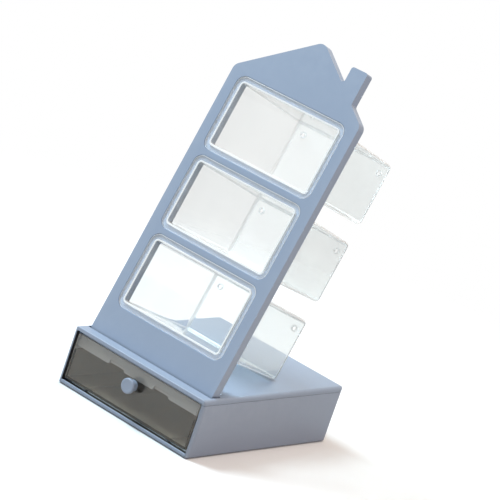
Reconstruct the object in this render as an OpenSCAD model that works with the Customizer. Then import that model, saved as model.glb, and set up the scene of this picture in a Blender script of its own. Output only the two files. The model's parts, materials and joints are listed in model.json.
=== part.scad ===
// House-shaped desk organizer: a leaning panel with three clear bins stands in a base with a drawer.
// Millimetres, +Z up, front towards -Y. The origin is under the middle of the footprint.
// The panel has its own axes: x across, y backwards into the panel, z up along its front face.

/* [Bins] */
// Width of a bin's mouth
mouth_w = 110.8; // [90:0.1:140]
// Height of a bin's mouth
mouth_h = 60.5; // [45:0.5:80]
// Corner radius of a bin's mouth
mouth_r = 2.6; // [2:0.1:10]
// Wall thickness of a bin
bin_wall = 1.6; // [1.2:0.1:3]
// Depth of a bin from the panel's front face
bin_depth = 111; // [70:1:140]
// How far each side of a bin draws in towards its back
bin_taper = 1.6; // [0.5:0.1:4]
// Radius of the rounded edges at the back of a bin
bin_back_r = 4; // [3.5:0.5:8]
// How far the front flange stands out round a bin
flange_e = 4.7; // [2:0.1:6]
// Thickness of the front flange
flange_t = 1.6; // [1:0.1:2.5]
// Gap between the lowest bin and the lid of the base
bin_lid_gap = 0.8; // [0.5:0.1:20]
// Distance of a finger hole from the side of the bin
finger_inset = 11; // [8:0.2:40]
// Distance of a finger hole from the top of the bin
finger_drop = 11.2; // [8:0.2:40]
// Diameter of a finger hole
finger_d = 4; // [3:0.1:8]
// Width of the raised ring round a finger hole
finger_ring = 1.2; // [0.8:0.1:2]
// How far that ring stands out
finger_ring_h = 0.8; // [0.4:0.1:1.5]

/* [House panel] */
// How far the panel leans back
tilt = 17.4; // [8:0.1:22]
// Thickness of the panel
panel_t = 10; // [8.5:0.1:14]
// Thickness of the panel's front skin
skin_t = 2.5; // [1.6:0.1:3]
// Thickness of the panel's rim round the back cover
rim_t = 2; // [1.5:0.1:3]
// Width of the ledge that the back cover sits on
ledge = 1.4; // [1:0.1:3]
// Thickness of the back cover
cover_t = 2; // [1.4:0.1:2.6]
// Thickness of the seat under a bin's flange
seat_t = 2; // [1.2:0.1:3]
// How far that seat reaches past the flange
seat_e = 1.2; // [0.5:0.1:2]
// Wall of the collar that guides a bin
collar_t = 1.8; // [1.2:0.1:2.5]
// Width of the panel beside the flange recesses
side_margin = 10.3; // [10:0.1:25]
// Height of the panel between two flange recesses
bar_h = 4.9; // [4.5:0.1:30]
// Height of the panel between the top recess and the eaves
eave_margin = 4.7; // [4:0.1:30]
// Slope of the roof
roof_pitch = 35.4; // [20:0.2:50]
// Corner radius of the eaves
eave_r = 8; // [3.6:0.2:12]
// Corner radius of the ridge
ridge_r = 8.5; // [4:0.5:14]
// Width of the chimney
chimney_w = 17.5; // [14:0.5:20]
// Distance of the chimney's middle from the middle of the panel
chimney_x = 45.5; // [35:0.5:50]
// Height of the chimney above the roof at its inner side
chimney_rise = 18; // [14:0.2:30]
// Corner radius of the chimney's top
chimney_r = 2.5; // [0.5:0.1:5]
// Fillet where the chimney's outer side meets the roof
root_r = 3.5; // [0.5:0.1:5]
// Fillet in the notch between the chimney and the roof
notch_r = 2.6; // [0.5:0.1:3.5]

/* [Panel foot and screws] */
// How deep the panel's foot goes into the base
foot_depth = 13.6; // [8:0.2:18]
// Corner radius of the foot
foot_r = 1; // [0.5:0.1:1.8]
// Distance of each snap hook from the middle
hook_x = 26.5; // [15:0.5:50]
// Width of a snap hook
hook_w = 17; // [8:0.5:20]
// Height of a snap hook's nose
hook_nose_h = 2; // [1:0.1:3]
// How far the nose of a snap hook reaches forward
hook_reach = 1.6; // [0.8:0.1:2]
// Diameter of a cover screw
screw_d = 2.6; // [2:0.1:3]
// Diameter of a cover screw's head
screw_head_d = 5; // [4:0.1:5.8]
// Height of a cover screw's head
screw_head_h = 1.6; // [1:0.1:2]
// Length of a cover screw under its head
screw_l = 6.5; // [5:0.1:7.2]
// Diameter of a screw boss
boss_d = 6; // [5:0.1:6.6]
// Distance of the end screws from the lid and from the eaves
screw_end = 10; // [9:0.5:20]

/* [Base] */
// Depth of the base from front to back
base_d = 208; // [200:1:260]
// Height of the base above its pads
base_h = 54.6; // [48:0.2:80]
// Thickness of the side walls and the back wall
wall_t = 2.5; // [2:0.1:4]
// Thickness of the floor
floor_t = 3.6; // [2.2:0.1:5]
// Height of the lid's rim at the sides and the back
lid_rim_h = 5; // [4.6:0.1:8]
// Thickness of the lid's top
lid_t = 2.4; // [1.8:0.1:3.2]
// Height of the lid's lip over the drawer
lip_h = 3.6; // [3.3:0.1:5]
// Depth of the lid's lip from front to back
lip_d = 3; // [2:0.1:4]
// Radius of the lid's rounded edges at the sides
lid_edge_r = 4; // [1:0.1:4.5]
// Radius of the lid's edges at the front and the back
lip_edge_r = 1.2; // [0.5:0.1:3]
// Radius of the upright edges
corner_r = 2.5; // [1:0.1:4]
// Radius of the edges under the base
under_r = 1; // [0.5:0.1:2]
// Wall of the socket that holds the panel's foot
socket_t = 2; // [1.4:0.1:3]
// Space between the drawer front and the socket
socket_gap = 3.3; // [2.8:0.1:10]
// How far the skirt in front of the socket hangs below its floor
skirt_drop = 4.2; // [3:0.1:8]
// Corner radius of the skirt's tabs
skirt_r = 2; // [0.5:0.1:3]
// Land between the end of the slot and the wall
slot_land = 1.4; // [0.8:0.05:10]

/* [Lid snaps] */
// Width of a snap tab
snap_w = 14; // [8:1:20]
// Thickness of a snap tab
snap_t = 1.3; // [1:0.1:1.5]
// How far a snap tab hangs below the lid's rim
snap_drop = 7.5; // [5:0.5:10]
// Radius of the round nub on a snap tab
nub_r = 0.8; // [0.4:0.1:1]
// Distance between snap tabs along a side
snap_pitch = 60; // [30:1:70]
// Distance of the snap tabs at the back from the middle
snap_back_x = 45; // [40:1:55]

/* [Drawer] */
// Gap round the drawer front
drawer_gap = 2.2; // [0.8:0.1:3]
// How far the drawer front sits back from the base's front
drawer_recess = 1.2; // [0:0.1:3]
// Thickness of the drawer front
front_t = 2.2; // [1.6:0.1:3]
// Corner radius of the drawer front
front_r = 1.5; // [0.5:0.1:4]
// Wall and floor thickness of the tray
tray_t = 2; // [1.4:0.1:3]
// Corner radius at the back of the tray
tray_r = 4; // [3.2:0.1:8]
// Space between the tray and the socket above it
tray_headroom = 2; // [0.8:0.1:8]
// Width of a runner under the drawer
runner_w = 4; // [2:0.5:8]
// Distance of each runner from the middle
runner_x = 50; // [30:1:60]
// Thickness of the rib that holds the drawer down
hold_rib_t = 1.2; // [0.8:0.1:1.3]
// Distance of each stop tab from the middle
stop_x = 20; // [12:1:28]
// Width of a stop tab
stop_w = 16; // [6:1:20]
// Height of a stop tab above the tray
stop_h = 7; // [4:0.5:8]

/* [Knob] */
// Diameter of the knob's head
knob_d = 14; // [10:0.5:22]
// Thickness of the knob's head
knob_head_t = 3.6; // [2.8:0.1:6]
// Radius of the rounded edge of the head
knob_edge_r = 1.3; // [0.4:0.1:1.4]
// Diameter of the knob's neck
knob_neck_d = 10.4; // [7:0.1:10.6]
// Length of the knob's neck
knob_neck_l = 5.1; // [2:0.1:10]
// Height of the knob above the underside of the drawer
knob_h = 26.7; // [12:0.1:34]
// Diameter of the knob's screw
knob_screw_d = 3; // [2:0.1:4]
// Diameter of that screw's head
knob_screw_head_d = 6; // [4.5:0.1:8]
// Height of that screw's head
knob_screw_head_h = 1.8; // [1:0.1:2.4]
// How far that screw reaches into the knob
knob_screw_grip = 6; // [3:0.1:6.4]

/* [Pads] */
// Diameter of a rubber pad
pad_d = 12; // [8:0.5:20]
// Thickness of a rubber pad
pad_t = 2; // [1.4:0.1:3]
// How far a pad stands out of the floor
pad_proud = 0.8; // [0.4:0.1:1.2]
// Distance of a pad's middle from the outside walls
pad_inset = 16; // [11:0.5:30]

/* [Clearances] */
// Gap between a moving piece and the face it rests on
seat_gap = 0.2; // [0.1:0.05:0.4]
// Gap between a bin and its collar, and round its flange
bin_gap = 0.4; // [0.3:0.05:0.8]
// Gap between the panel's foot and its socket
foot_gap = 0.3; // [0.2:0.05:0.6]
// Gap at each end of the panel's foot
slot_end_gap = 1.2; // [0.5:0.1:3]
// Gap between other fitted pieces
fit_gap = 0.3; // [0.2:0.05:0.5]
// Gap between a screw and its hole
screw_gap = 0.05; // [0.03:0.01:0.1]

/* [Hidden] */
$fn = 64;
// Facets of the arcs inside hulls
hull_fn = 32;
// How far a cut runs past the face it opens
past = 1;

BLUE = [0.62, 0.69, 0.82];
CLEAR = [0.86, 0.9, 0.93, 0.35];
SMOKE = [0.75, 0.72, 0.68, 0.45];
STEEL = [0.6, 0.61, 0.63];
RUBBER = [0.25, 0.26, 0.28];

// Bins and their seats in the panel
bin_out = 2 * bin_wall;
hole_r = mouth_r + bin_wall + bin_gap;
hole_w = mouth_w + bin_out + 2 * bin_gap;
hole_h = mouth_h + bin_out + 2 * bin_gap;
flange_w = mouth_w + bin_out + 2 * flange_e;
flange_h = mouth_h + bin_out + 2 * flange_e;
flange_r = mouth_r + bin_wall + flange_e;
recess_w = flange_w + 2 * bin_gap;
recess_h = flange_h + 2 * bin_gap;
recess_r = flange_r + bin_gap;
recess_d = flange_t + seat_gap;
bin_back_w = mouth_w + bin_out - 2 * bin_taper;
bin_back_h = mouth_h + bin_out - 2 * bin_taper;
finger_x = bin_back_w / 2 - finger_inset;
finger_z = bin_back_h / 2 - finger_drop;
bin_pitch = recess_h + bar_h;
// The round edge at the back of the lowest bin clears the lid by bin_lid_gap
first_bin_z = bin_back_h / 2 - bin_back_r
    + (bin_lid_gap + bin_back_r + (bin_depth - bin_back_r) * sin(tilt)) / cos(tilt);
function bin_z(i) = first_bin_z + i * bin_pitch;

// The house outline, as [x, z, corner radius] listed anticlockwise
panel_w = recess_w + 2 * side_margin;
eave_z = bin_z(2) + recess_h / 2 + eave_margin;
ridge_z = eave_z + panel_w / 2 * tan(roof_pitch);
function roof_z(x) = ridge_z - x * tan(roof_pitch);
chimney_in = chimney_x - chimney_w / 2;
chimney_out = chimney_x + chimney_w / 2;
chimney_top = roof_z(chimney_in) + chimney_rise;
HOUSE = [
    [-panel_w / 2, -foot_depth, foot_r],
    [panel_w / 2, -foot_depth, foot_r],
    [panel_w / 2, eave_z, eave_r],
    [chimney_out, roof_z(chimney_out), root_r],
    [chimney_out, chimney_top, chimney_r],
    [chimney_in, chimney_top, chimney_r],
    [chimney_in, roof_z(chimney_in), notch_r],
    [0, ridge_z, ridge_r],
    [-panel_w / 2, eave_z, eave_r]
];

// Cover screws: a column down each side and one under the ridge
cover_y = panel_t - cover_t;
// Each boss at the side runs this far into the ledge
boss_bite = 0.6;
boss_x = panel_w / 2 - rim_t - ledge - boss_d / 2 + boss_bite;
side_screw_z = [screw_end, bin_z(0.5), bin_z(1.5), eave_z - screw_end];
ridge_screw_z = (eave_z + ridge_z) / 2;
SCREWS = concat([for (x = [-boss_x, boss_x], z = side_screw_z) [x, z]], [[0, ridge_screw_z]]);

// Base and the socket for the panel's foot
inner_w = panel_w + 2 * (slot_end_gap + slot_land);
base_w = inner_w + 2 * wall_t;
seam_z = base_h - lid_rim_h;
back_y = base_d - wall_t;
socket_front = -foot_gap - socket_t;
socket_back = panel_t + foot_gap + socket_t;
socket_floor_z = -foot_depth - socket_t;
skirt_z = socket_floor_z - skirt_drop;
// Where the panel's front face meets the lid
foot_y = drawer_recess + front_t + socket_gap - socket_front * cos(tilt) - skirt_z * sin(tilt);
// Height above the base's underside of a point [y, z] of the panel
function panel_height(y, z) = base_h + z * cos(tilt) - y * sin(tilt);
function panel_depth(y, z) = foot_y + z * sin(tilt) + y * cos(tilt);
socket_low = min(panel_height(socket_back, socket_floor_z), panel_height(-foot_gap, skirt_z));

// Drawer
front_w = inner_w - 2 * drawer_gap;
drawer_z = floor_t + drawer_gap;
front_h = base_h - lip_h - drawer_gap - drawer_z;
front_back_y = drawer_recess + front_t;
tray_top = socket_low - tray_headroom;
tray_back_y = back_y - fit_gap;
knob_l = knob_neck_l + knob_head_t;
knob_z = drawer_z + knob_h;

// Snap tabs of the lid, as [x, y, turn about Z] on the inside of the walls
SNAPS = [
    for (i = [-1 : 1], side = [1, -1])
        [side * inner_w / 2, base_d / 2 + i * snap_pitch, side > 0 ? 0 : 180],
    for (side = [1, -1])
        [side * snap_back_x, back_y, 90]
];
nub_z = seam_z - snap_drop + 2 * nub_r;

// The knob stands out in front, so the middle of the footprint lies ahead of the base's middle
front_reach = knob_l - drawer_recess;
middle_y = (base_d - front_reach) / 2;

// Corner i of an outline with its two neighbours
function xy(c) = [c.x, c.y];
function unit(v) = v / norm(v);
function way_in(c, i) = unit(xy(c[i]) - xy(c[(i + len(c) - 1) % len(c)]));
function way_out(c, i) = unit(xy(c[(i + 1) % len(c)]) - xy(c[i]));
function left_of(v) = [-v.y, v.x];
function outward(c, i) = cross(way_in(c, i), way_out(c, i)) > 0;
function run(c, i) = c[i].z * tan(acos(way_in(c, i) * way_out(c, i)) / 2);
function arc_start(c, i) = xy(c[i]) - run(c, i) * way_in(c, i);
function arc_end(c, i) = xy(c[i]) + run(c, i) * way_out(c, i);
function arc_centre(c, i) =
    arc_start(c, i) + (outward(c, i) ? 1 : -1) * c[i].z * left_of(way_in(c, i));

// The same outline drawn in by e: the radii of outward corners shrink to match, those of inward corners stay
least_r = 0.3;
function drawn_in(c, e) = [
    for (i = [0 : len(c) - 1])
        let (
            a = left_of(way_in(c, i)),
            b = left_of(way_out(c, i)),
            p = xy(c[i]) + e * (a + b) / (1 + a * b)
        )
        [p.x, p.y, outward(c, i) ? max(c[i].z - e, least_r) : c[i].z]
];

// An outline with round corners, each a true arc; a corner of radius 0 stays sharp
module outline(c) {
    corners = [0 : len(c) - 1];
    difference() {
        union() {
            polygon([
                for (i = corners)
                    each c[i].z > 0 ? [arc_start(c, i), arc_end(c, i)] : [xy(c[i])]
            ]);
            for (i = corners)
                if (c[i].z > 0 && outward(c, i)) translate(arc_centre(c, i)) circle(c[i].z);
        }
        for (i = corners)
            if (c[i].z > 0 && !outward(c, i)) translate(arc_centre(c, i)) circle(c[i].z);
    }
}

// A rectangle from low to high with its own radius at the low and at the high corners
module plate(low, high, low_r, high_r) {
    outline([
        [low.x, low.y, low_r], [high.x, low.y, low_r],
        [high.x, high.y, high_r], [low.x, high.y, high_r]
    ]);
}

module window(w, h, r) {
    plate([-w / 2, -h / 2], [w / 2, h / 2], r, r);
}

// Extrudes an outline drawn in x and z from one depth to another
module slab(from, to) {
    translate([0, to, 0]) rotate([90, 0, 0]) linear_extrude(to - from) children();
}

// A box centred on x
module bar(w, from, to) {
    translate([-w / 2, from.x, from.y]) cube([w, to.x - from.x, to.y - from.y]);
}

// A round rod along y
module rod(d, from, to) {
    translate([0, from, 0]) rotate([-90, 0, 0]) cylinder(d = d, h = to - from);
}

module both_sides() {
    children();
    mirror([1, 0, 0]) children();
}

module in_base() {
    translate([0, -middle_y, pad_proud]) children();
}

module in_panel() {
    in_base() translate([0, foot_y, base_h]) rotate([-tilt, 0, 0]) children();
}

module at_bins() {
    for (i = [0 : 2]) translate([0, 0, bin_z(i)]) children();
}

module at_screws() {
    for (p = SCREWS) translate([p.x, 0, p.y]) children();
}

module at_pad(x_side, y_side) {
    translate([
        x_side * (base_w / 2 - pad_inset),
        base_d / 2 + y_side * (base_d / 2 - pad_inset),
        0
    ]) children();
}

module at_snaps() {
    for (s = SNAPS) translate([s.x, s.y, 0]) rotate(s.z) children();
}

// The outside of the base between two heights: round edges below, and above at its sides and at its two ends
module base_block(low, high, low_r, side_r, end_r) {
    half = base_w / 2;
    intersection() {
        translate([0, 0, low]) linear_extrude(high - low)
            plate([-half, 0], [half, base_d], corner_r, corner_r);
        slab(0, base_d) plate([-half, low], [half, high], low_r, side_r);
        rotate(90) slab(-half, half) plate([0, low], [base_d, high], low_r, end_r);
    }
}

module base_tub() {
    pocket_w = snap_w + 2 * fit_gap;
    pocket_r = nub_r + fit_gap;
    color(BLUE) in_base() {
        difference() {
            base_block(0, seam_z, under_r, 0, 0);
            bar(inner_w, [-past, floor_t], [back_y, seam_z + past]);
            // Round pockets that catch the lid's nubs
            at_snaps() translate([-fit_gap, 0, nub_z])
                rotate([90, 0, 0]) cylinder(r = pocket_r, h = pocket_w, center = true);
            // Seats of the rubber pads
            for (x = [-1, 1], y = [-1, 1]) at_pad(x, y) translate([0, 0, -past])
                cylinder(d = pad_d + 2 * fit_gap, h = past + pad_t - pad_proud);
        }
        // Runners under the drawer
        both_sides() translate([runner_x, 0, 0])
            bar(runner_w, [front_back_y, floor_t], [back_y, drawer_z - seat_gap]);
    }
}

// One snap tab with its nub, on the inside of a wall whose face is x = 0
module snap_tab() {
    face = -fit_gap;
    translate([face - snap_t, -snap_w / 2, seam_z - snap_drop])
        cube([snap_t, snap_w, snap_drop + lid_rim_h - lid_t]);
    translate([face, 0, nub_z]) rotate([90, 0, 0]) cylinder(r = nub_r, h = snap_w, center = true);
}

// Walls and floor of the socket, before the slot for the foot is cut
module socket_block() {
    half = inner_w / 2 - fit_gap;
    notch_in = hook_x - hook_w / 2 - fit_gap;
    notch_out = hook_x + hook_w / 2 + fit_gap;
    // High enough for the socket's walls to meet the lid's sloping cut
    top = socket_back;
    difference() {
        bar(2 * half, [socket_front, socket_floor_z], [socket_back, top]);
        // Holes in the floor for the hooks
        both_sides() translate([hook_x, 0, 0])
            bar(notch_out - notch_in, [-foot_gap, socket_floor_z - past],
                [skin_t + hook_reach + fit_gap, past - foot_depth]);
    }
    // Tabs that carry the front wall on below the floor, with notches where the hooks show
    for (tab = [[-half, -notch_out], [-notch_in, notch_in], [notch_out, half]])
        slab(socket_front, -foot_gap)
            plate([tab[0], skirt_z], [tab[1], socket_floor_z + socket_t], skirt_r, 0);
}

module base_lid() {
    slot_w = panel_w + 2 * slot_end_gap;
    rib_x = front_w / 2 - tray_t + hold_rib_t / 2;
    rib_front = panel_depth(socket_back, 0) + past;
    color(BLUE) difference() {
        union() {
            in_base() difference() {
                base_block(seam_z, base_h, 0, lid_edge_r, lip_edge_r);
                bar(inner_w, [lip_d, seam_z - past], [back_y, base_h - lid_t]);
                bar(inner_w, [-past, seam_z - past], [lip_d + past, base_h - lip_h]);
            }
            in_base() at_snaps() snap_tab();
            // Ribs over the tray's sides that keep the drawer level when it is out
            in_base() both_sides() translate([rib_x, 0, 0])
                bar(hold_rib_t, [rib_front, tray_top + seat_gap], [back_y - snap_t - 2 * fit_gap, base_h - lid_t / 2]);
            // The socket hangs under the lid's top
            intersection() {
                in_panel() socket_block();
                in_base() bar(inner_w, [0, 0], [back_y, base_h - lid_t / 2]);
            }
        }
        in_panel() bar(slot_w, [-foot_gap, -foot_depth], [panel_t + foot_gap, panel_t]);
    }
}

module foot_pad(x_side, y_side) {
    color(RUBBER) in_base() at_pad(x_side, y_side) translate([0, 0, -pad_proud]) cylinder(d = pad_d, h = pad_t);
}

module foot_pad_front_left() {
    foot_pad(-1, -1);
}

module foot_pad_front_right() {
    foot_pad(1, -1);
}

module foot_pad_rear_left() {
    foot_pad(-1, 1);
}

module foot_pad_rear_right() {
    foot_pad(1, 1);
}

// A tongue below the foot whose nose catches under the socket's front wall
module snap_hook() {
    nose_top = socket_floor_z - fit_gap;
    nose_low = nose_top - hook_nose_h;
    bar(hook_w, [0, nose_low], [skin_t, -foot_depth + skin_t]);
    bar(hook_w, [-hook_reach, nose_low], [skin_t, nose_top]);
}

module house_panel() {
    color(BLUE) in_panel() difference() {
        union() {
            difference() {
                slab(0, panel_t) outline(HOUSE);
                slab(skin_t, panel_t) outline(drawn_in(HOUSE, rim_t + ledge));
                slab(cover_y, panel_t + past) outline(drawn_in(HOUSE, rim_t));
            }
            at_bins() {
                slab(0, recess_d + seat_t) window(recess_w + 2 * seat_e, recess_h + 2 * seat_e, recess_r + seat_e);
                slab(0, panel_t) window(hole_w + 2 * collar_t, hole_h + 2 * collar_t, hole_r + collar_t);
            }
            at_screws() rod(boss_d, skin_t / 2, cover_y);
            both_sides() translate([hook_x, 0, 0]) snap_hook();
        }
        at_bins() {
            slab(-past, recess_d) window(recess_w, recess_h, recess_r);
            slab(-past, panel_t + past) window(hole_w, hole_h, hole_r);
        }
        at_screws() rod(screw_d + 2 * screw_gap, panel_t - screw_l - fit_gap, cover_y + past);
    }
}

module panel_back_cover() {
    collar_gap = 2 * (collar_t + fit_gap);
    color(BLUE) in_panel() difference() {
        slab(cover_y, panel_t) outline(drawn_in(HOUSE, rim_t + fit_gap));
        at_bins() slab(cover_y - past, panel_t + past)
            window(hole_w + collar_gap, hole_h + collar_gap, hole_r + collar_t + fit_gap);
        at_screws() rod(screw_d + 2 * fit_gap, cover_y - past, panel_t + past);
    }
}

module cover_screws() {
    color(STEEL) in_panel() at_screws() {
        rod(screw_d, panel_t - screw_l, panel_t + screw_head_h / 2);
        rod(screw_head_d, panel_t, panel_t + screw_head_h);
    }
}

// The tapered body of a bin, drawn in by e from its outside
module bin_body(front, e) {
    r = bin_back_r - e;
    hull() {
        slab(front, front + flange_t)
            window(mouth_w + bin_out - 2 * e, mouth_h + bin_out - 2 * e, mouth_r + bin_wall - e, $fn = hull_fn);
        for (x = [-1, 1], z = [-1, 1])
            translate([x * (bin_back_w / 2 - e - r), bin_depth - e - r, z * (bin_back_h / 2 - e - r)])
                sphere(r, $fn = hull_fn);
    }
}

module bin(i) {
    color(CLEAR) in_panel() translate([0, 0, bin_z(i)]) difference() {
        union() {
            slab(0, flange_t) window(flange_w, flange_h, flange_r);
            bin_body(0, 0);
            for (x = [-finger_x, finger_x]) translate([x, 0, finger_z])
                rod(finger_d + 2 * finger_ring, bin_depth - bin_wall / 2, bin_depth + finger_ring_h);
        }
        bin_body(-past, bin_wall);
        for (x = [-finger_x, finger_x]) translate([x, 0, finger_z])
            rod(finger_d, bin_depth - bin_wall - past, bin_depth + finger_ring_h + past);
    }
}

module bin_bottom() {
    bin(0);
}

module bin_middle() {
    bin(1);
}

module bin_top() {
    bin(2);
}

module drawer_tray() {
    half = front_w / 2;
    color(SMOKE) in_base() difference() {
        union() {
            translate([0, 0, drawer_z]) {
                slab(drawer_recess, front_back_y) plate([-half, 0], [half, front_h], front_r, front_r);
                linear_extrude(tray_top - drawer_z)
                    plate([-half, drawer_recess + front_t / 2], [half, tray_back_y], 0, tray_r);
            }
            // Stop tabs that meet the socket when the drawer is right out
            both_sides() translate([stop_x, 0, 0])
                bar(stop_w, [tray_back_y - tray_t, tray_top - past], [tray_back_y, tray_top + stop_h]);
        }
        translate([0, 0, drawer_z + tray_t]) linear_extrude(base_h)
            plate([-half + tray_t, front_back_y], [half - tray_t, tray_back_y - tray_t], 0, tray_r - tray_t);
        translate([0, 0, knob_z]) rod(knob_screw_d + 2 * fit_gap, drawer_recess - past, front_back_y + past);
    }
}

module drawer_knob() {
    r = knob_d / 2;
    color(BLUE) in_base() translate([0, drawer_recess, knob_z]) rotate([90, 0, 0]) difference() {
        rotate_extrude() intersection() {
            union() {
                translate([-knob_neck_d / 2, 0]) square([knob_neck_d, knob_neck_l + knob_head_t / 2]);
                plate([-r, knob_neck_l], [r, knob_l], knob_edge_r, knob_edge_r);
            }
            square([r, knob_l]);
        }
        translate([0, 0, -past]) cylinder(d = knob_screw_d + 2 * screw_gap, h = past + knob_screw_grip + fit_gap);
    }
}

module knob_screw() {
    color(STEEL) in_base() translate([0, 0, knob_z]) {
        rod(knob_screw_d, drawer_recess - knob_screw_grip, front_back_y + knob_screw_head_h / 2);
        rod(knob_screw_head_d, front_back_y, front_back_y + knob_screw_head_h);
    }
}

base_tub();
base_lid();
foot_pad_front_left();
foot_pad_front_right();
foot_pad_rear_left();
foot_pad_rear_right();
house_panel();
panel_back_cover();
cover_screws();
bin_bottom();
bin_middle();
bin_top();
drawer_tray();
drawer_knob();
knob_screw();
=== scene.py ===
"""The house-shaped desk organizer: moulded edges, clear bins, a smoky drawer, studio light and camera."""

import json
import math

import bmesh
import bpy
from mathutils import Matrix, Vector


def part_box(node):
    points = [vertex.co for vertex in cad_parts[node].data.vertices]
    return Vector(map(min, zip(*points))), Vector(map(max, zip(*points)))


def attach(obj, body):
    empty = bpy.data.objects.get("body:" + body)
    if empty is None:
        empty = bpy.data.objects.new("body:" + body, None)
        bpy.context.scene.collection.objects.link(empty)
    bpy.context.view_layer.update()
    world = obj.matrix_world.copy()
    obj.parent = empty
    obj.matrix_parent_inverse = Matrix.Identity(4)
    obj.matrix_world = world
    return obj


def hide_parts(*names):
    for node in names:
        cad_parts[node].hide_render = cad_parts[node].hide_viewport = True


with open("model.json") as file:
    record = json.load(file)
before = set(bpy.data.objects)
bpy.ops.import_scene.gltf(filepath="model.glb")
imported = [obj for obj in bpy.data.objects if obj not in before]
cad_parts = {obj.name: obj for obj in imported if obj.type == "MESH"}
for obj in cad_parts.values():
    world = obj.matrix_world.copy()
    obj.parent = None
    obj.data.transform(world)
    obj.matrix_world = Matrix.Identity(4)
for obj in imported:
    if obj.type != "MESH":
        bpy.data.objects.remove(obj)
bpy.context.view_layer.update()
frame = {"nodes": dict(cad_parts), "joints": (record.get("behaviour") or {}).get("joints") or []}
SCENE = bpy.context.scene
SCENE.view_settings.view_transform = "Standard"

MM = 0.001

# The panel leans back: its axes are right, back into the panel, and up along its face
SLIDE = next(joint for joint in frame["joints"] if joint["name"] == "top_bin_slide")
RIGHT = Vector((1, 0, 0))
BACK = -Vector(SLIDE["axis"])
UP = RIGHT.cross(BACK)
PANEL_TURN = Matrix((RIGHT, BACK, UP)).transposed().to_4x4()
TO_PANEL = PANEL_TURN.inverted()

# Sizes of the bins
BIN_WALL = 1.6 * MM
FLANGE_T = 1.6 * MM
FLANGE_E = 4.7 * MM
FLANGE_R = 8.9 * MM
BODY_R = 4.2 * MM
BACK_R = 4 * MM
BIN_TAPER = 1.6 * MM
RING_H = 0.8 * MM
RING_D = 6.4 * MM
FINGER_D = 4 * MM
FINGER_INSET = 11 * MM
FINGER_DROP = 11.2 * MM

# Sizes of the base, the drawer and its knob
# How far into the opening the painted shadow reaches
GAP_SHADOW_DEPTH = 5 * MM
RIM_BAR_W = 8 * MM
DRAWER_FRONT_T = 2.2 * MM
KNOB_NECK_D = 10.4 * MM
KNOB_NECK_L = 5.1 * MM
KNOB_EDGE = 1.3 * MM
KNOB_DISH_DEPTH = 0.35 * MM
KNOB_RIM_W = 2.08 * MM
KNOB_DISH_FLAT = 1 / 3

# Sizes of the screws; those of the cross recess and the rounding are shares of the head's diameter or height
COVER_HEAD_D = 5 * MM
COVER_HEAD_H = 1.6 * MM
COVER_SCREW_D = 2.6 * MM
COVER_SCREW_TURN = 37
KNOB_HEAD_D = 6 * MM
KNOB_HEAD_H = 1.8 * MM
KNOB_SCREW_D = 3 * MM
HEAD_ROUND = 0.45
CROSS_FLOOR = 0.35
CROSS_REACH = 0.3
CROSS_HALF_W = 0.07
CROSS_R = 0.05

# Sizes of the pads
PAD_EDGE = 0.5 * MM
PAD_RIM = 1.2 * MM
PAD_DISH = 0.3 * MM

# Edge roundings
FACE_SOFT = 2.4 * MM
RECESS_SOFT = 0.7 * MM
REAR_SOFT = 0.6 * MM
SEAM_SOFT = 0.6 * MM
SLOT_SOFT = 3.4 * MM
FLANGE_SOFT = 0.6 * MM
THIN_SOFT = 0.35 * MM

# Facets of the round shapes
ROD_FACETS = 40
KNOB_FACETS = 72
PAD_FACETS = 64
FLOOR_FACETS = 96

# How close counts as the same place, and which turn between two faces as flat, smooth or sharp
NEAR = 0.02 * MM
CUT_NEAR = 0.0001 * MM
FLAT = math.radians(0.4)
PANE_SMOOTH = math.radians(20)
SMOOTH = math.radians(35)
SHARP = math.radians(40)


# Editing tools


def activate(piece):
    """Leaves the piece as the only selected object."""
    bpy.ops.object.select_all(action="DESELECT")
    piece.select_set(True)
    bpy.context.view_layer.objects.active = piece


def pick(piece, kind, test):
    """Opens the piece in edit mode with only those faces or edges selected that pass the test."""
    activate(piece)
    bpy.ops.object.mode_set(mode="EDIT")
    bpy.ops.mesh.select_mode(type=kind)
    bpy.ops.mesh.select_all(action="DESELECT")
    mesh = bmesh.from_edit_mesh(piece.data)
    for part in mesh.faces if kind == "FACE" else mesh.edges:
        if test(part):
            part.select_set(True)
    bmesh.update_edit_mesh(piece.data)


def close():
    """Leaves edit mode."""
    bpy.ops.object.mode_set(mode="OBJECT")


def any_part(part):
    return True


def soften(piece, test, width, steps=3, convex=False):
    """Rounds the edges that pass the test and, if asked to, splits concave faces into convex ones."""
    pick(piece, "EDGE", test)
    bpy.ops.mesh.bevel(
        offset=width, offset_type="OFFSET", segments=steps, affect="EDGES", clamp_overlap=False
    )
    if convex:
        bpy.ops.mesh.select_all(action="SELECT")
        bpy.ops.mesh.vert_connect_concave()
    close()


def split(piece, place, normal, test=any_part):
    """Cuts the faces that pass the test along a plane, so that the two sides can differ."""
    pick(piece, "FACE", test)
    bpy.ops.mesh.bisect(plane_co=place, plane_no=normal, threshold=CUT_NEAR)
    close()


def paint(piece, material, test):
    """Gives the faces that pass the test a material of their own."""
    pick(piece, "FACE", test)
    piece.data.materials.append(material)
    piece.active_material_index = len(piece.data.materials) - 1
    bpy.ops.object.material_slot_assign()
    close()


def turn(piece, matrix):
    """Turns the mesh itself, so that the object stays at the origin."""
    activate(piece)
    piece.matrix_world = matrix
    bpy.ops.object.transform_apply(location=True, rotation=True, scale=True)


def apply_modifier(piece, kind, **settings):
    activate(piece)
    modifier = piece.modifiers.new(kind.lower(), kind)
    for name, value in settings.items():
        setattr(modifier, name, value)
    bpy.ops.object.modifier_apply(modifier=modifier.name)


def carve(piece, tool, operation):
    """Adds the tool's solid to the piece, or takes it away, and deletes the tool."""
    apply_modifier(piece, "BOOLEAN", object=tool, operation=operation, solver="EXACT")
    bpy.data.objects.remove(tool)


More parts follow.
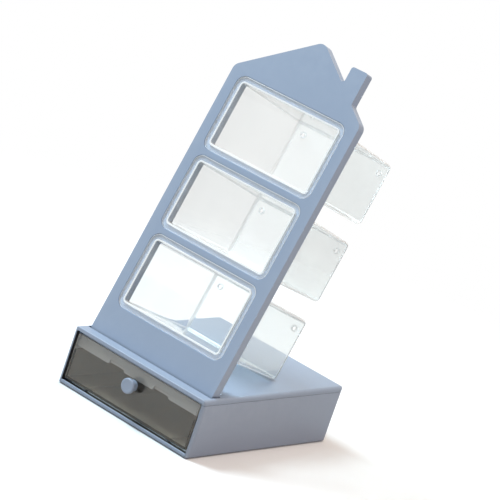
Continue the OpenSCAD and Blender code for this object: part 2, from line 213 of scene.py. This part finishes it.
def own_copy(mesh, name):
    """A new piece with its own copy of a mesh."""
    piece = bpy.data.objects.new(name, mesh.copy())
    SCENE.collection.objects.link(piece)
    return piece


def cad_copy(node, name, convex=False):
    """A new piece with a node's shape: its triangles merged and its flat faces made whole, or convex."""
    piece = own_copy(frame["nodes"][node].data, name)
    piece.data.materials.clear()
    activate(piece)
    bpy.ops.mesh.customdata_custom_splitnormals_clear()
    bpy.ops.object.mode_set(mode="EDIT")
    bpy.ops.mesh.select_all(action="SELECT")
    bpy.ops.mesh.remove_doubles(threshold=NEAR / 4)
    bpy.ops.mesh.dissolve_limited(angle_limit=FLAT)
    if convex:
        bpy.ops.mesh.vert_connect_concave()
    close()
    return piece


def sharp(edge):
    return len(edge.link_faces) == 2 and edge.calc_face_angle(0) > SHARP


def all_verts(edge, test):
    return all(test(vert.co) for vert in edge.verts)


def sharp_where(test):
    """A test for sharp edges that have both ends where the given test passes."""
    return lambda edge: sharp(edge) and all_verts(edge, test)


def span(points):
    """Lowest and highest corner of some points."""
    low = Vector(map(min, zip(*points)))
    high = Vector(map(max, zip(*points)))
    return low, high


def panel_box(node):
    """Lowest and highest corner of a node along the panel's own axes."""
    return span([TO_PANEL @ vert.co for vert in frame["nodes"][node].data.vertices])


def boxes_of(node, turned):
    """Lowest and highest corner of each separate solid of a node, in turned axes, from the bottom up."""
    piece = cad_copy(node, "loose")
    turn(piece, turned)
    activate(piece)
    bpy.ops.mesh.separate(type="LOOSE")
    parts = list(bpy.context.selected_objects)
    boxes = [span([vert.co for vert in part.data.vertices]) for part in parts]
    for part in parts:
        bpy.data.objects.remove(part)
    return sorted(boxes, key=lambda corners: (round(corners[0].z, 4), round(corners[0].x, 4)))


def dress(piece, body, slot, *nodes, material=None, smooth=SMOOTH):
    """Smooths the piece, adds its material unless it is painted, and puts it on its body for its nodes."""
    activate(piece)
    bpy.ops.object.shade_smooth_by_angle(angle=smooth)
    apply_modifier(piece, "WEIGHTED_NORMAL", keep_sharp=True)
    if material:
        piece.data.materials.append(material)
    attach(piece, body)
    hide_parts(*nodes)


# Materials


class Value:
    """A node's output; arithmetic on it adds Math nodes."""

    def __init__(self, nodes, socket):
        self.nodes = nodes
        self.socket = socket

    def __add__(self, other):
        return self.nodes.maths("ADD", self, other)

    def __radd__(self, other):
        return self.nodes.maths("ADD", other, self)

    def __sub__(self, other):
        return self.nodes.maths("SUBTRACT", self, other)

    def __rsub__(self, other):
        return self.nodes.maths("SUBTRACT", other, self)

    def __mul__(self, other):
        return self.nodes.maths("MULTIPLY", self, other)

    def __rmul__(self, other):
        return self.nodes.maths("MULTIPLY", other, self)


class Nodes:
    """A node tree under construction."""

    def __init__(self, tree):
        self.tree = tree

    def add(self, kind, settings=None, sockets=None, out=0):
        """Adds a node: its settings first, then its sockets' values or links. Gives one of its outputs."""
        node = self.tree.nodes.new(kind)
        for name, value in (settings or {}).items():
            setattr(node, name, value)
        for name, value in (sockets or {}).items():
            self.feed(self.find(node.inputs, name), value)
        return Value(self, self.find(node.outputs, out))

    def find(self, sockets, name):
        """A socket by its number, its identifier or its name."""
        if isinstance(name, int):
            return sockets[name]
        return next(socket for socket in sockets if name in (socket.identifier, socket.name))

    def feed(self, socket, value):
        """Links a value to a socket, or sets the socket to a constant."""
        if isinstance(value, Value):
            self.tree.links.new(value.socket, socket)
        else:
            socket.default_value = value

    def maths(self, operation, first, second):
        return self.add("ShaderNodeMath", {"operation": operation}, {0: first, 1: second})


class Finish(Nodes):
    """A material under construction round its Principled shader."""

    def __init__(self, name):
        self.material = bpy.data.materials.new(name)
        self.material.use_nodes = True
        super().__init__(self.material.node_tree)
        self.shader = self.tree.nodes["Principled BSDF"]
        self.place = self.add("ShaderNodeTexCoord", out="Object")

    def noise(self, size, detail, stretch=(1, 1, 1)):
        """Smooth noise from 0 to 1 whose lumps measure about the given size in metres."""
        place = self.place
        if stretch != (1, 1, 1):
            place = self.add("ShaderNodeMapping", sockets={"Vector": self.place, "Scale": stretch})
        return self.add("ShaderNodeTexNoise", sockets={"Vector": place, "Scale": 1 / size, "Detail": detail})

    def blend(self, share, first, second):
        """One colour passing into another."""
        return self.add(
            "ShaderNodeMix",
            {"data_type": "RGBA"},
            {"Factor_Float": share, "A_Color": first, "B_Color": second},
            out="Result_Color",
        )

    def bump(self, height, strength, depth):
        return self.add("ShaderNodeBump", sockets={"Height": height, "Strength": strength, "Distance": depth})

    def set(self, **sockets):
        """Sets the Principled shader's sockets; an underscore in a name stands for a space."""
        for name, value in sockets.items():
            self.feed(self.shader.inputs[name.replace("_", " ")], value)

    def give_way(self, share, shader):
        """Lets another shader take the Principled one's place by the given share."""
        own = Value(self, self.shader.outputs[0])
        surface = self.add("ShaderNodeMixShader", sockets={0: share, 1: own, 2: shader})
        self.feed(self.tree.nodes["Material Output"].inputs["Surface"], surface)

    def let_light_through(self, tint):
        """Lamps shine through the piece, tinted, so that what lies behind it is lit."""
        shadow = self.add("ShaderNodeLightPath", out="Is Shadow Ray")
        self.give_way(shadow, self.add("ShaderNodeBsdfTransparent", sockets={"Color": tint}))


def shade(colour, factor):
    """A darker or paler colour."""
    return (*(min(1, part * factor) for part in colour), 1)


def moulded_plastic(name, colour, worn, painted_shade_reach=0.0):
    """Satin moulded plastic: faint flow marks, a fine spark-eroded grain, and edges rubbed a little paler.

    Painted shade: where another face lies closer than the given reach, the colour is darker, as in creases,
    under things and where parts meet.
    """
    finish = Finish(name)
    flow = finish.noise(60 * MM, detail=3, stretch=(1, 1, 0.4))
    grain = finish.noise(0.5 * MM, detail=2)
    scuff = finish.noise(9 * MM, detail=5)
    body = finish.blend(flow, shade(colour, 0.965), shade(colour, 1.035))
    if painted_shade_reach:
        # Painted shade from ambient occlusion, not a colour of the plastic
        occlusion_for_painted_shade = finish.add("ShaderNodeAmbientOcclusion", {"samples": 8}, {"Distance": painted_shade_reach}, out="AO")
        body = finish.blend(occlusion_for_painted_shade, shade(colour, 0.3), body)
    point = finish.add("ShaderNodeNewGeometry", out="Pointiness")
    rubbed = finish.add(
        "ShaderNodeMapRange",
        {"clamp": True},
        {"Value": point, "From Min": 0.52, "From Max": 0.6, "To Min": 0.0, "To Max": 0.35},
    )
    finish.set(
        Base_Color=finish.blend(rubbed * scuff, body, worn),
        Roughness=0.24 + 0.1 * scuff + 0.05 * grain,
        Normal=finish.bump(grain, strength=0.12, depth=0.08 * MM),
        IOR=1.5,
    )
    return finish.material


def clear_plastic(name, colour, haze, rough, tint, clarity):
    """Clear moulded plastic: a faint tint, slight waves from the mould, and hairline scratches."""
    finish = Finish(name)
    wave = finish.noise(22 * MM, detail=1)
    scratch = finish.noise(1.2 * MM, detail=4, stretch=(1, 0.05, 0.4))
    smear = finish.noise(30 * MM, detail=4)
    finish.set(
        Base_Color=finish.blend(smear, colour, haze),
        Roughness=rough + 0.05 * scratch * smear,
        Normal=finish.bump(wave, strength=0.06, depth=0.5 * MM),
        Transmission_Weight=clarity,
        IOR=1.46,
    )
    finish.let_light_through(tint)
    return finish.material


def painted_edge_colour(name, dull, bright, cover):
    """A partly opaque colour painted on the end or the bend of a clear wall: pale, it is painted light for
    the light that the wall gathers; dark, it is painted shadow.
    """
    finish = Finish(name)
    patch = finish.noise(14 * MM, detail=3)
    finish.set(
        Base_Color=finish.blend(patch, dull, bright),
        Roughness=0.18 + 0.1 * patch,
        Alpha=cover + 0.12 * patch,
    )
    return finish.material


def rubber(name, colour):
    """Matte rubber: a fine grain, and paler where dust clings."""
    finish = Finish(name)
    grain = finish.noise(0.4 * MM, detail=3)
    dust = finish.noise(4 * MM, detail=4)
    finish.set(
        Base_Color=finish.blend(dust, shade(colour, 0.8), shade(colour, 1.6)),
        Roughness=0.75 + 0.2 * grain,
        Normal=finish.bump(grain, strength=0.3, depth=0.1 * MM),
    )
    return finish.material


def plated_steel(name, colour):
    """Zinc plate: bright, with cloudy patches and fine drawn lines."""
    finish = Finish(name)
    cloud = finish.noise(1.5 * MM, detail=4)
    line = finish.noise(0.12 * MM, detail=2, stretch=(1, 0.2, 1))
    finish.set(
        Base_Color=finish.blend(cloud, shade(colour, 0.85), shade(colour, 1.1)),
        Metallic=1.0,
        Roughness=0.22 + 0.16 * cloud + 0.08 * line,
        Normal=finish.bump(line, strength=0.1, depth=0.02 * MM),
    )
    return finish.material


# How far from a nearby face the painted shade reaches
PAINTED_SHADE_REACH = 3 * MM
PERIWINKLE = (0.285, 0.362, 0.495)
RUBBED = (0.5, 0.57, 0.68, 1)
BLUE = moulded_plastic("periwinkle_plastic", PERIWINKLE, RUBBED)
# The same plastic with painted shade near other faces, for the base and the panel's foot
BLUE_WITH_PAINTED_SHADE = moulded_plastic("periwinkle_plastic_painted_shade", PERIWINKLE, RUBBED, PAINTED_SHADE_REACH)
CLEAR = clear_plastic(
    "clear_plastic",
    colour=(0.92, 0.935, 0.93, 1),
    haze=(0.86, 0.88, 0.88, 1),
    rough=0.03,
    tint=(0.88, 0.89, 0.89, 1),
    clarity=0.92,
)
FLANGE = clear_plastic(
    "clear_plastic_flange",
    colour=(0.9, 0.915, 0.93, 1),
    haze=(0.85, 0.87, 0.89, 1),
    rough=0.06,
    tint=(0.95, 0.96, 0.97, 1),
    clarity=0.82,
)
# Painted light: pale, partly opaque colours on the bins' mouths and bends, for the light their clear walls
# gather
PAINTED_LIT_MOUTH = painted_edge_colour("clear_plastic_painted_lit_mouth", (0.86, 0.9, 0.94, 1), (0.95, 0.97, 1, 1), cover=0.88)
PAINTED_LIT_BEND = painted_edge_colour("clear_plastic_painted_lit_bend", (0.88, 0.9, 0.92, 1), (0.96, 0.98, 1, 1), cover=0.6)
SMOKE = clear_plastic(
    "smoky_plastic",
    colour=(0.92, 0.84, 0.73, 1),
    haze=(0.87, 0.79, 0.68, 1),
    rough=0.04,
    tint=(0.96, 0.91, 0.84, 1),
    clarity=0.98,
)
# Painted light on the drawer front's edges, and painted shadow, near black, on those that face down
PAINTED_LIT_SMOKE_EDGE = painted_edge_colour("smoky_plastic_painted_lit_edge", (0.5, 0.48, 0.45, 1), (0.62, 0.6, 0.57, 1), cover=0.7)
PAINTED_SHADOW_EDGE = painted_edge_colour("smoky_plastic_painted_shadow", (0.02, 0.02, 0.02, 1), (0.04, 0.038, 0.035, 1), cover=0.88)
RUBBER = rubber("grey_rubber", (0.06, 0.062, 0.068))
# Painted shadow, near black in the rubber finish, for the gap round the drawer
GAP_SHADOW_PAINT = rubber("painted_gap_shadow", (0.012, 0.012, 0.014))
STEEL = plated_steel("zinc_plate", (0.68, 0.69, 0.7))


# House panel


def soften_face(piece, front, rear, lid_top):
    """Rounds the panel's front outline above the lid, the recesses and the rear outline."""

    def at_depth(edge, depth):
        return sharp(edge) and all_verts(edge, lambda co: abs(co.y - depth) < NEAR and co.z > lid_top - NEAR)

    def reaches_rear(face):
        return max(vert.co.y for vert in face.verts) > rear - NEAR

    def outer(edge):
        return any(face.normal.y > -0.5 and reaches_rear(face) for face in edge.link_faces)

    soften(piece, lambda edge: at_depth(edge, front) and outer(edge), FACE_SOFT, steps=6)
    soften(piece, lambda edge: at_depth(edge, front) and not outer(edge), RECESS_SOFT, steps=4)
    soften(piece, lambda edge: at_depth(edge, rear), REAR_SOFT)


def house_panel():
    """The panel, soft round its face, with painted shade that darkens its foot towards the lid's slot."""
    piece = cad_copy("house_panel", "house_panel_moulded")
    turn(piece, TO_PANEL)
    low, high = panel_box("house_panel")
    # The panel passes through the lid's top face; the cut gives the roundings a place to end inside the slot
    lid_low, lid_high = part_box("base_lid")
    lid_top = (TO_PANEL @ Vector((0, lid_low.y, lid_high.z))).z
    # The foot up to here gets painted shade, darker near the lid's slot
    shaded_foot_top = lid_top + 2 * PAINTED_SHADE_REACH
    split(piece, (0, 0, lid_top), (0, 0, 1))
    soften_face(piece, low.y, high.y, lid_top)
    split(piece, (0, 0, shaded_foot_top), (0, 0, 1))
    piece.data.materials.append(BLUE)
    paint(piece, BLUE_WITH_PAINTED_SHADE, lambda face: face.calc_center_median().z < shaded_foot_top)
    turn(piece, PANEL_TURN)
    dress(piece, "stand", "blue_plastic", "house_panel")


def back_cover():
    """The cover of the panel's hollow back, its outline eased."""
    piece = cad_copy("panel_back_cover", "panel_back_cover_moulded", convex=True)
    turn(piece, TO_PANEL)
    rear = panel_box("panel_back_cover")[1].y
    screws = [(low + high) / 2 for low, high in boxes_of("cover_screws", TO_PANEL)]

    def outline(co):
        clear = all(math.hypot(co.x - place.x, co.z - place.z) > COVER_SCREW_D for place in screws)
        return clear and co.y > rear - NEAR

    soften(piece, sharp_where(outline), THIN_SOFT, convex=True)
    turn(piece, PANEL_TURN)
    dress(piece, "stand", "blue_plastic", "panel_back_cover", material=BLUE)


# Bins


def rounded_block(low, high, side_r, back_r=0.0, taper=0.0):
    """A block whose four long edges, along y, and whose back edges are round, drawn in towards the back."""
    size = high - low
    middle = (low + high) / 2

    def lengthways(edge):
        return abs((edge.verts[0].co - edge.verts[1].co).normalized().y) > 0.9

    bpy.ops.object.select_all(action="DESELECT")
    bpy.ops.mesh.primitive_cube_add(size=1)
    piece = bpy.context.object
    pick(piece, "FACE", any_part)
    bpy.ops.transform.resize(value=size)
    bpy.ops.transform.translate(value=middle)
    close()
    if taper:
        pick(piece, "FACE", lambda face: face.normal.y > 0.9)
        drawn = (1 - 2 * taper / size.x, 1, 1 - 2 * taper / size.z)
        bpy.ops.transform.resize(value=drawn, center_override=(middle.x, high.y, middle.z))
        close()
    soften(piece, lengthways, side_r, steps=8)
    if back_r:
        soften(piece, sharp_where(lambda co: co.y > high.y - NEAR), back_r, steps=7)
    return piece


def rod(place, diameter, start, stop):
    """A round bar along y."""
    bpy.ops.object.select_all(action="DESELECT")
    bpy.ops.mesh.primitive_cylinder_add(
        vertices=ROD_FACETS,
        radius=diameter / 2,
        depth=stop - start,
        location=(place[0], (start + stop) / 2, place[1]),
        rotation=(math.radians(90), 0, 0),
    )
    piece = bpy.context.object
    turn(piece, piece.matrix_world.copy())
    return piece


def bin_shape():
    """The lowest bin in the panel's axes: a drawn-in box with a flange and two ringed finger holes."""
    low, high = panel_box("bin_bottom")
    back = high.y - RING_H
    body_low = Vector((low.x + FLANGE_E, low.y, low.z + FLANGE_E))
    body_high = Vector((high.x - FLANGE_E, back, high.z - FLANGE_E))
    middle = (body_low + body_high) / 2
    half = (body_high - body_low) / 2
    holes = [
        (side * (body_high.x - BIN_TAPER - FINGER_INSET), body_high.z - BIN_TAPER - FINGER_DROP)
        for side in (-1, 1)
    ]

    piece = rounded_block(body_low, body_high, BODY_R, BACK_R, BIN_TAPER)
    carve(piece, rounded_block(low, Vector((high.x, low.y + FLANGE_T, high.z)), FLANGE_R), "UNION")
    for place in holes:
        carve(piece, rod(place, RING_D, back - BIN_WALL / 2, high.y), "UNION")
    # The hollow starts in front of the mouth, so that it opens cleanly
    inside_low = body_low + Vector((BIN_WALL, -BIN_WALL, BIN_WALL))
    inside_high = body_high - Vector((BIN_WALL, BIN_WALL, BIN_WALL))
    hollow = rounded_block(inside_low, inside_high, BODY_R - BIN_WALL, BACK_R - BIN_WALL, BIN_TAPER)
    carve(piece, hollow, "DIFFERENCE")
    for place in holes:
        carve(piece, rod(place, FINGER_D, back - 2 * BIN_WALL, high.y + BIN_WALL), "DIFFERENCE")

    def outside(co):
        """How far a point lies outside the body's outline at the mouth."""
        across = max(abs(co.x - middle.x) - half.x + BODY_R, 0)
        along = max(abs(co.z - middle.z) - half.z + BODY_R, 0)
        return math.hypot(across, along) - BODY_R

    def front_edge(edge):
        return sharp(edge) and all_verts(edge, lambda co: abs(co.y - low.y) < NEAR)

    soften(piece, lambda edge: front_edge(edge) and outside(edge.verts[0].co) > 0, FLANGE_SOFT, convex=True)
    soften(piece, lambda edge: front_edge(edge) and outside(edge.verts[0].co) < 0, THIN_SOFT, convex=True)
    # A strip round the mouth, where the wall shows end on, for painted light
    pick(piece, "FACE", lambda face: face.normal.y < -0.99 and face.calc_center_median().y < low.y + NEAR)
    bpy.ops.mesh.inset(thickness=BIN_WALL - THIN_SOFT, use_even_offset=True)
    close()

    def on_flange(face):
        centre = face.calc_center_median()
        return centre.y < low.y + FLANGE_T + NEAR and outside(centre) > 0

    def on_mouth(face):
        centre = face.calc_center_median()
        return centre.y < low.y + THIN_SOFT and outside(centre) < 0

    def on_ring(centre):
        return any(math.hypot(centre.x - x, centre.z - z) < RING_D / 2 + NEAR for x, z in holes)

    def on_bend(face):
        """The flange's round rim, the rings, and the body's outer bends along its top, bottom and back."""
        centre = face.calc_center_median()
        normal = face.normal
        if on_flange(face):
            return -0.98 < normal.y < -0.1
        if on_ring(centre):
            return centre.y > back - NEAR or abs(normal.y) < 0.5
        outer = (centre - middle).dot(normal) > 0 and centre.y > low.y + FLANGE_T
        return outer and (0.5 < abs(normal.z) < 0.99 or 0.15 < normal.y < 0.985)

    piece.data.materials.append(CLEAR)
    # Painted light on the mouth's strip and on the bends
    paint(piece, PAINTED_LIT_MOUTH, on_mouth)
    paint(piece, FLANGE, on_flange)
    paint(piece, PAINTED_LIT_BEND, on_bend)
    return piece


def bins():
    """The three bins, alike but for their height."""
    pattern = bin_shape()
    first = panel_box("bin_bottom")[0]
    for level in ("bottom", "middle", "top"):
        piece = own_copy(pattern.data, f"bin_{level}_clear")
        turn(piece, PANEL_TURN @ Matrix.Translation(panel_box(f"bin_{level}")[0] - first))
        dress(piece, f"{level}_bin", "clear_plastic", f"bin_{level}")
    bpy.data.objects.remove(pattern)


# Base


def base_tub():
    """The tub, its opening and its seam eased, with painted shadow, near black, on the inner faces just
    inside the opening.
    """
    piece = cad_copy("base_tub", "base_tub_moulded")
    low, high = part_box("base_tub")
    strip = low.y + GAP_SHADOW_DEPTH

    def rim(co):
        return co.z > high.z - NEAR or co.y < low.y + NEAR

    def inside(co):
        return abs(co.x) < high.x - NEAR and low.z + NEAR < co.z < high.z - NEAR

    def in_painted_gap_shadow(face):
        centre = face.calc_center_median()
        inwards = face.normal.dot(Vector((-centre.x, 0, high.z - centre.z))) > 0
        return centre.y < strip and abs(face.normal.y) < 0.3 and inwards and inside(centre)

    soften(piece, lambda edge: sharp(edge) and edge.is_convex and all_verts(edge, rim), SEAM_SOFT)
    split(piece, (0, strip, 0), (0, 1, 0))
    # The tub's plastic gets painted shade near other faces
    piece.data.materials.append(BLUE_WITH_PAINTED_SHADE)
    # Painted shadow on the inner faces of the opening, where the gap round the drawer lies in shade
    paint(piece, GAP_SHADOW_PAINT, in_painted_gap_shadow)
    dress(piece, "stand", "blue_plastic", "base_tub")


def base_lid():
    """The lid, with its slot and its lower rim eased."""
    piece = cad_copy("base_lid", "base_lid_moulded", convex=True)
    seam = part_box("base_tub")[1].z
    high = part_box("base_lid")[1]

    def rim(edge, height):
        return sharp(edge) and edge.is_convex and all_verts(edge, lambda co: abs(co.z - height) < NEAR)

    def slot_front(edge):
        return rim(edge, high.z) and any(face.normal.y > 0.5 for face in edge.link_faces)

    def underside(face):
        return face.normal.z < -0.99 and abs(face.calc_center_median().z - seam) < NEAR

    # The rim's underside is cut into straight bars, so that its rounding runs evenly round the corners
    pick(piece, "FACE", underside)
    bpy.ops.mesh.dissolve_limited(angle_limit=FLAT)
    close()
    split(piece, (0, high.y - RIM_BAR_W, 0), (0, 1, 0), underside)
    for side in (-1, 1):
        split(piece, (side * (high.x - RIM_BAR_W), 0, 0), (1, 0, 0), underside)
    soften(piece, lambda edge: rim(edge, seam), SEAM_SOFT)
    soften(piece, slot_front, SLOT_SOFT, steps=6, convex=True)
    soften(piece, lambda edge: rim(edge, high.z), THIN_SOFT, convex=True)
    # The lid's plastic gets painted shade near other faces, as by the panel and under the bins
    dress(piece, "stand", "blue_plastic", "base_lid", material=BLUE_WITH_PAINTED_SHADE)


# Drawer


def drawer_tray():
    """The smoky drawer: front, tray and stop tabs in one moulding, with painted light on the front's edges
    and painted shadow on those that face down.
    """
    piece = cad_copy("drawer_tray", "drawer_tray_smoky")
    front_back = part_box("drawer_tray")[0].y + DRAWER_FRONT_T
    screw_low, screw_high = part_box("knob_screw")
    hole = (screw_low + screw_high) / 2
    soften(piece, lambda edge: sharp(edge) and edge.is_convex, THIN_SOFT)
    split(piece, (0, front_back, 0), (0, 1, 0))

    def on_rim(face):
        centre = face.calc_center_median()
        clear = math.hypot(centre.x - hole.x, centre.z - hole.z) > 2 * KNOB_SCREW_D
        return clear and centre.y < front_back and abs(face.normal.y) < 0.95

    piece.data.materials.append(SMOKE)
    # Painted light on the front's edges, then painted shadow on its downward edges for the dark gap below the
    # drawer
    paint(piece, PAINTED_LIT_SMOKE_EDGE, on_rim)
    paint(piece, PAINTED_SHADOW_EDGE, lambda face: on_rim(face) and face.normal.z < -0.3)
    dress(piece, "drawer", "smoke_plastic", "drawer_tray", smooth=PANE_SMOOTH)


def knob():
    """A turned neck and head with a round rim and a faintly dished face."""
    low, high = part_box("drawer_knob")
    middle = (low + high) / 2
    radius = (high.x - low.x) / 2
    length = high.y - low.y
    bpy.ops.object.select_all(action="DESELECT")
    bpy.ops.mesh.primitive_circle_add(
        vertices=KNOB_FACETS,
        radius=KNOB_NECK_D / 2,
        fill_type="NGON",
        location=(middle.x, high.y, middle.z),
        rotation=(math.radians(90), 0, 0),
    )
    piece = bpy.context.object
    piece.name = "drawer_knob_turned"
    turn(piece, piece.matrix_world.copy())
    # Each ring of the turning: how far out, and its radius
    rings = [
        (KNOB_NECK_L, KNOB_NECK_D / 2),
        (KNOB_NECK_L, radius),
        (length, radius),
        (length, radius - KNOB_RIM_W),
        (length - KNOB_DISH_DEPTH, radius * KNOB_DISH_FLAT),
    ]
    reach = 0.0
    wide = KNOB_NECK_D / 2
    pick(piece, "FACE", any_part)
    for out, ring in rings:
        bpy.ops.mesh.extrude_region_move(TRANSFORM_OT_translate={"value": (0, reach - out, 0)})
        centre = (middle.x, high.y - out, middle.z)
        bpy.ops.transform.resize(value=(ring / wide, 1, ring / wide), center_override=centre)
        reach = out
        wide = ring
    bpy.ops.mesh.select_all(action="SELECT")
    bpy.ops.mesh.normals_make_consistent(inside=False)
    close()

    def on_head(co):
        return math.hypot(co.x - middle.x, co.z - middle.z) > radius - NEAR

    soften(piece, sharp_where(on_head), KNOB_EDGE, steps=6)
    dress(piece, "drawer", "blue_plastic", "drawer_knob", material=BLUE)


# Screws and pads


def screw(name, head_d, head_h, shank_d, shank_l):
    """A pan-head cross-recess screw along y, its head's underside at the origin and its shank towards -y."""
    piece = rod((0, 0), shank_d, -shank_l, head_h / 2)
    piece.name = name
    head = rod((0, 0), head_d, 0, head_h)
    soften(head, sharp_where(lambda co: co.y > head_h - NEAR), HEAD_ROUND * head_h, steps=4)
    carve(piece, head, "UNION")
    for angle in (0, 90):
        slot = rounded_block(
            Vector((-CROSS_REACH * head_d, CROSS_FLOOR * head_h, -CROSS_HALF_W * head_d)),
            Vector((CROSS_REACH * head_d, 2 * head_h, CROSS_HALF_W * head_d)),
            CROSS_R * head_d,
        )
        turn(slot, Matrix.Rotation(math.radians(angle), 4, "Y"))
        carve(piece, slot, "DIFFERENCE")
    return piece


def cover_screws():
    """The nine screws of the back cover, each turned to its own angle."""
    boxes = boxes_of("cover_screws", TO_PANEL)
    low, high = boxes[0]
    shank_l = high.y - low.y - COVER_HEAD_H
    pattern = screw("cover_screw", COVER_HEAD_D, COVER_HEAD_H, COVER_SCREW_D, shank_l)
    copies = []
    for number, (low, high) in enumerate(boxes):
        piece = own_copy(pattern.data, f"cover_screws_{number}")
        middle = (low + high) / 2
        seat = Vector((middle.x, high.y - COVER_HEAD_H, middle.z))
        spun = Matrix.Rotation(math.radians(COVER_SCREW_TURN * number), 4, "Y")
        turn(piece, PANEL_TURN @ Matrix.Translation(seat) @ spun)
        copies.append(piece)
    bpy.data.objects.remove(pattern)
    activate(copies[0])
    for piece in copies:
        piece.select_set(True)
    bpy.ops.object.join()
    copies[0].name = "cover_screws_plated"
    dress(copies[0], "stand", "screw_steel", "cover_screws", material=STEEL)


def knob_screw():
    """The screw that holds the knob, its head inside the drawer."""
    low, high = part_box("knob_screw")
    middle = (low + high) / 2
    shank_l = high.y - low.y - KNOB_HEAD_H
    piece = screw("knob_screw_plated", KNOB_HEAD_D, KNOB_HEAD_H, KNOB_SCREW_D, shank_l)
    turn(piece, Matrix.Translation((middle.x, high.y - KNOB_HEAD_H, middle.z)))
    dress(piece, "drawer", "screw_steel", "knob_screw", material=STEEL)


def foot_pads():
    """Four rubber discs with a round lower edge and a shallow dish, so that each stands on its rim."""
    low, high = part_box("foot_pad_front_left")
    middle = (low + high) / 2
    bpy.ops.object.select_all(action="DESELECT")
    bpy.ops.mesh.primitive_cylinder_add(
        vertices=PAD_FACETS, radius=(high.x - low.x) / 2, depth=high.z - low.z, location=middle
    )
    pattern = bpy.context.object
    turn(pattern, pattern.matrix_world.copy())
    soften(pattern, sharp_where(lambda co: co.z < low.z + NEAR), PAD_EDGE, steps=4)
    pick(pattern, "FACE", lambda face: face.normal.z < -0.99)
    bpy.ops.mesh.inset(thickness=PAD_RIM)
    bpy.ops.mesh.inset(thickness=PAD_DISH)
    bpy.ops.transform.translate(value=(0, 0, PAD_DISH))
    close()
    for corner in ("front_left", "front_right", "rear_left", "rear_right"):
        piece = own_copy(pattern.data, f"foot_pad_{corner}_rubber")
        turn(piece, Matrix.Translation(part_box(f"foot_pad_{corner}")[0] - low))
        dress(piece, "stand", "rubber", f"foot_pad_{corner}", material=RUBBER)
    bpy.data.objects.remove(pattern)


house_panel()
back_cover()
cover_screws()
bins()
base_tub()
base_lid()
drawer_tray()
knob()
knob_screw()
foot_pads()


# Floor, light and camera

# The camera stands right of the front, looks down a little and is rolled
CAMERA_AIM = Vector((4.4, -1.9, 161.6)) * MM
CAMERA_AWAY = 2400.5 * MM
CAMERA_AZIMUTH = math.radians(33.52)
CAMERA_ELEVATION = math.radians(14.66)
CAMERA_ROLL = math.radians(19.13)
CAMERA_LENS = 195.9
SENSOR = 36


def add_camera():
    out = Vector((
        math.sin(CAMERA_AZIMUTH) * math.cos(CAMERA_ELEVATION),
        -math.cos(CAMERA_AZIMUTH) * math.cos(CAMERA_ELEVATION),
        math.sin(CAMERA_ELEVATION),
    ))
    data = bpy.data.cameras.new("camera")
    data.lens = CAMERA_LENS
    data.sensor_width = SENSOR
    camera = bpy.data.objects.new("camera", data)
    level = (-out).to_track_quat("-Z", "Y").to_matrix().to_4x4()
    camera.matrix_world = (
        Matrix.Translation(CAMERA_AIM + CAMERA_AWAY * out) @ level @ Matrix.Rotation(CAMERA_ROLL, 4, "Z")
    )
    SCENE.collection.objects.link(camera)
    SCENE.camera = camera


def add_lamp(name, place, size, power, colour):
    """A soft box aimed at the middle of the object."""
    data = bpy.data.lights.new(name, "AREA")
    data.shape = "DISK"
    data.size = size
    data.energy = power
    data.color = colour
    lamp = bpy.data.objects.new(name, data)
    lamp.location = place
    lamp.rotation_mode = "QUATERNION"
    lamp.rotation_quaternion = (CAMERA_AIM - Vector(place)).to_track_quat("-Z", "Y")
    SCENE.collection.objects.link(lamp)


# How strongly the surroundings light the object
WORLD_LIGHT = 0.5

# The floor's colour to the eye and for the light that it throws back, and where it starts and ends to fade
FLOOR_SEEN = (0.93, 0.96, 1, 1)
FLOOR_LIT = (0.54, 0.46, 0.39, 1)
FLOOR_SOLID = 0.4
FLOOR_GONE = 0.75


def seen_rays(nodes):
    """1 for what the camera sees, also in reflections and through clear pieces; 0 for light on the object."""
    kinds = ("Camera", "Glossy", "Transmission")
    camera, glossy, clear = (nodes.add("ShaderNodeLightPath", out=f"Is {kind} Ray") for kind in kinds)
    return nodes.maths("MAXIMUM", camera, nodes.maths("MAXIMUM", glossy, clear))


def add_world():
    """Plain light from all sides; where it is seen, it is white."""
    world = bpy.data.worlds.new("studio")
    world.use_nodes = True
    SCENE.world = world
    nodes = Nodes(world.node_tree)
    seen = seen_rays(nodes)
    background = world.node_tree.nodes["Background"]
    nodes.feed(background.inputs["Color"], (1, 1, 1, 1))
    nodes.feed(background.inputs["Strength"], seen + WORLD_LIGHT * (1 - seen))


def add_floor():
    """A pale floor that holds the object's shadow and fades into the white round it."""
    bpy.ops.object.select_all(action="DESELECT")
    bpy.ops.mesh.primitive_circle_add(vertices=FLOOR_FACETS, radius=FLOOR_GONE, fill_type="NGON")
    floor = bpy.context.object
    floor.name = "floor"
    finish = Finish("pale_floor")
    colour = finish.blend(seen_rays(finish), FLOOR_LIT, FLOOR_SEEN)
    finish.set(Base_Color=colour, Roughness=1.0, Specular_IOR_Level=0.0)
    away = finish.add("ShaderNodeVectorMath", {"operation": "LENGTH"}, {0: finish.place}, out="Value")
    faded = finish.add(
        "ShaderNodeMapRange",
        {"interpolation_type": "SMOOTHSTEP"},
        {"Value": away, "From Min": FLOOR_SOLID, "From Max": FLOOR_GONE},
    )
    finish.give_way(faded, finish.add("ShaderNodeBsdfTransparent"))
    floor.data.materials.append(finish.material)


add_camera()
add_world()
add_floor()
add_lamp("key", place=(-1.43, -0.76, 2.32), size=1.2, power=72, colour=(0.79, 0.94, 1))
add_lamp("top", place=(0.3, 0.5, 2.2), size=1.2, power=16, colour=(1, 0.7, 0.44))
add_lamp("fill", place=(2.1, 0.1, 0.75), size=1.0, power=4.6, colour=(1, 0.62, 0.53))
